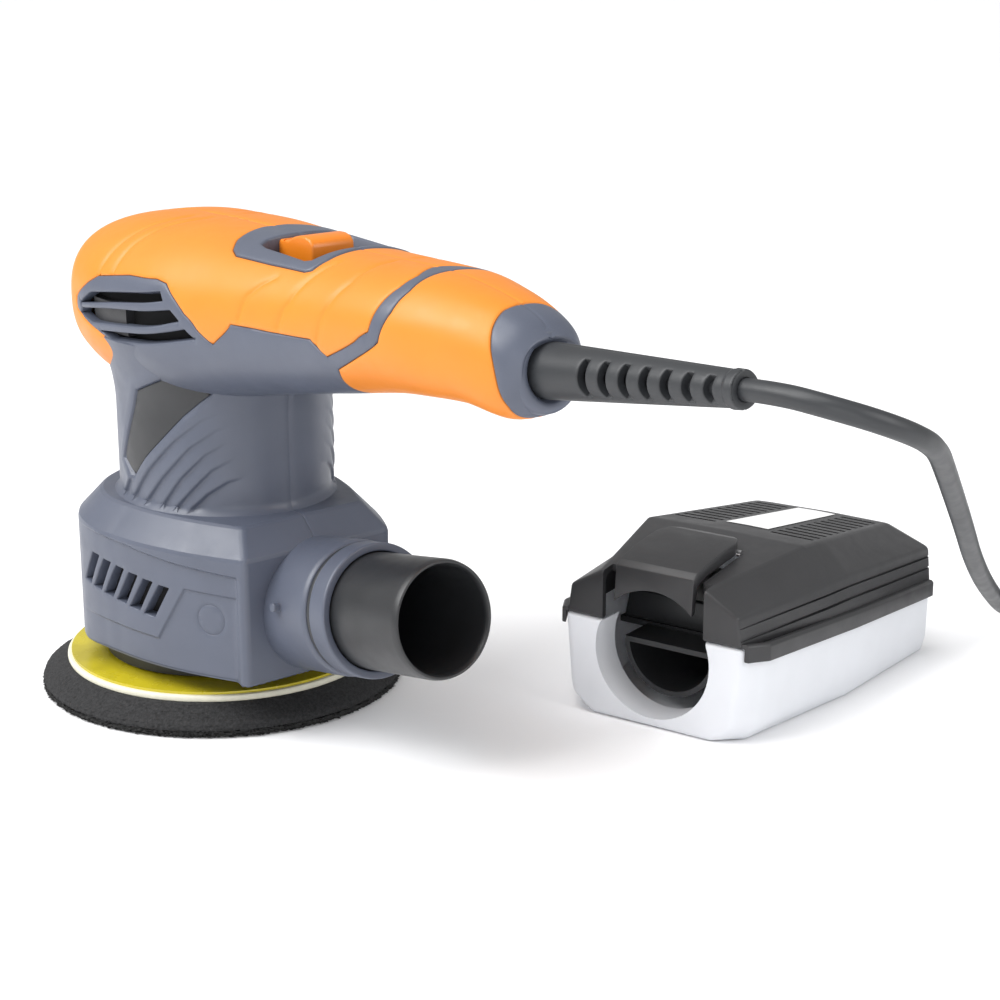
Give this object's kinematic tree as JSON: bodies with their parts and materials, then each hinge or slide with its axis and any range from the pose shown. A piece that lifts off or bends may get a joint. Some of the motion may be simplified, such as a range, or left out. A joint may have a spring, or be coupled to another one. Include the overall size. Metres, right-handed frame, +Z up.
{
  "type": "orbital sander",
  "caption": "Random orbit sander with a round pad, D-shaped motor head, long grip, dust outlet with hose adapter, a separate dust box and a mains cord.",
  "frame": {"origin": "foot of the motor axis on the plane of the sanding face, which is the floor it stands on", "axes": "+Z up the motor axis, +X to the rear along the grip, +Y to the tool's side where the dust box stands"},
  "size_m": [0.3473, 0.4595, 0.1634],
  "materials": {
    "grey_plastic": "fine moulded texture",
    "orange_rubber": "satin soft grip",
    "orange_plastic": "satin",
    "black_plastic": "satin moulded",
    "dark_grey_plastic": "satin moulded",
    "black_rubber": "matt",
    "clear_plastic": "frosted, translucent",
    "white_paper": "matt",
    "hook_fabric": "hook pile",
    "black_foam": "cut foam",
    "cream_rubber": "matt",
    "yellow_plastic": "moulded",
    "cast_metal": "cast",
    "inner_plastic": "moulded",
    "steel": "machined",
    "copper": "enamelled",
    "carbon": "sintered",
    "nickel_brass": "plated"
  },
  "bodies": {
    "housing": {"housing_left": "grey_plastic", "housing_right": "grey_plastic", "front_grip_left": "orange_rubber", "front_grip_right": "orange_rubber", "rear_grip_left": "orange_rubber", "rear_grip_right": "orange_rubber", "housing_screws": "steel", "outlet_spout": "grey_plastic", "outlet_seal": "black_rubber", "chamber_floor": "grey_plastic", "brake_ring": "black_rubber", "name_plate": "black_plastic", "bearing_bracket": "cast_metal", "motor_cradle": "inner_plastic", "upper_bearing_cap": "inner_plastic", "lower_bearing": "steel", "upper_bearing": "steel", "motor_stator": "steel", "field_coils": "copper", "brush_left": "carbon", "brush_right": "carbon", "brush_holder_left": "black_plastic", "brush_holder_right": "black_plastic", "switch_surround": "grey_plastic", "switch_block": "inner_plastic", "capacitor": "inner_plastic", "inner_leads": "copper", "cord_clamp": "inner_plastic", "clamp_screws": "steel", "strain_relief": "black_rubber", "cord_inner": "black_rubber", "cord_lead": "black_rubber", "cord_coil": "black_rubber", "cord_tail": "black_rubber", "plug_body": "black_plastic", "plug_pins": "nickel_brass"},
    "rotor": {"motor_shaft": "steel", "armature_core": "steel", "armature_windings": "copper", "commutator": "copper", "cooling_fan": "inner_plastic", "eccentric_weight": "cast_metal", "orbit_bearing": "steel"},
    "sanding_pad": {"hook_face": "hook_fabric", "foam_pad": "black_foam", "plate_rim": "cream_rubber", "backing_plate": "yellow_plastic", "pad_spindle": "steel", "pad_screw": "steel"},
    "slider": {"switch_slider": "orange_plastic"},
    "hose_adapter": {"hose_adapter": "black_plastic"},
    "dust_box": {"dust_tray": "clear_plastic", "filter_frame": "black_plastic", "filter_element": "white_paper", "lid_hinge_pin": "steel"},
    "box_lid": {"dust_lid": "dark_grey_plastic", "lid_label_plate": "white_paper", "latch_pin": "steel"},
    "latch": {"latch_tongue": "dark_grey_plastic"}
  },
  "joints": [
    {"name": "rotor_spin", "type": "hinge", "parent": "housing", "child": "rotor", "pos_m": [0, 0, 0.05], "axis": [0, 0, 1], "continuous": true},
    {"name": "pad_spin", "type": "hinge", "parent": "rotor", "child": "sanding_pad", "pos_m": [0, 0.00125, 0.02], "axis": [0, 0, 1], "continuous": true},
    {"name": "switch_slide", "type": "slide", "parent": "housing", "child": "slider", "axis": [-1, 0, 0], "range_m": [0, 0.006]},
    {"name": "adapter_slide", "type": "slide", "parent": "housing", "child": "hose_adapter", "axis": [0.9848, 0, 0.1736], "range_m": [0, 0.03]},
    {"name": "dust_box_lift", "type": "slide", "parent": "housing", "child": "dust_box", "axis": [0, 0, 1], "range_m": [0, 0.06]},
    {"name": "lid_hinge", "type": "hinge", "parent": "dust_box", "child": "box_lid", "pos_m": [0.09989, 0.20644, 0.027], "axis": [-0.9659, -0.2588, 0], "range_deg": [0, 95]},
    {"name": "latch_hinge", "type": "hinge", "parent": "box_lid", "child": "latch", "pos_m": [0.12578, 0.10984, 0.0546], "axis": [-0.9659, -0.2588, 0], "range_deg": [0, 12], "stiffness_Nm_per_rad": 0.05}
  ]
}
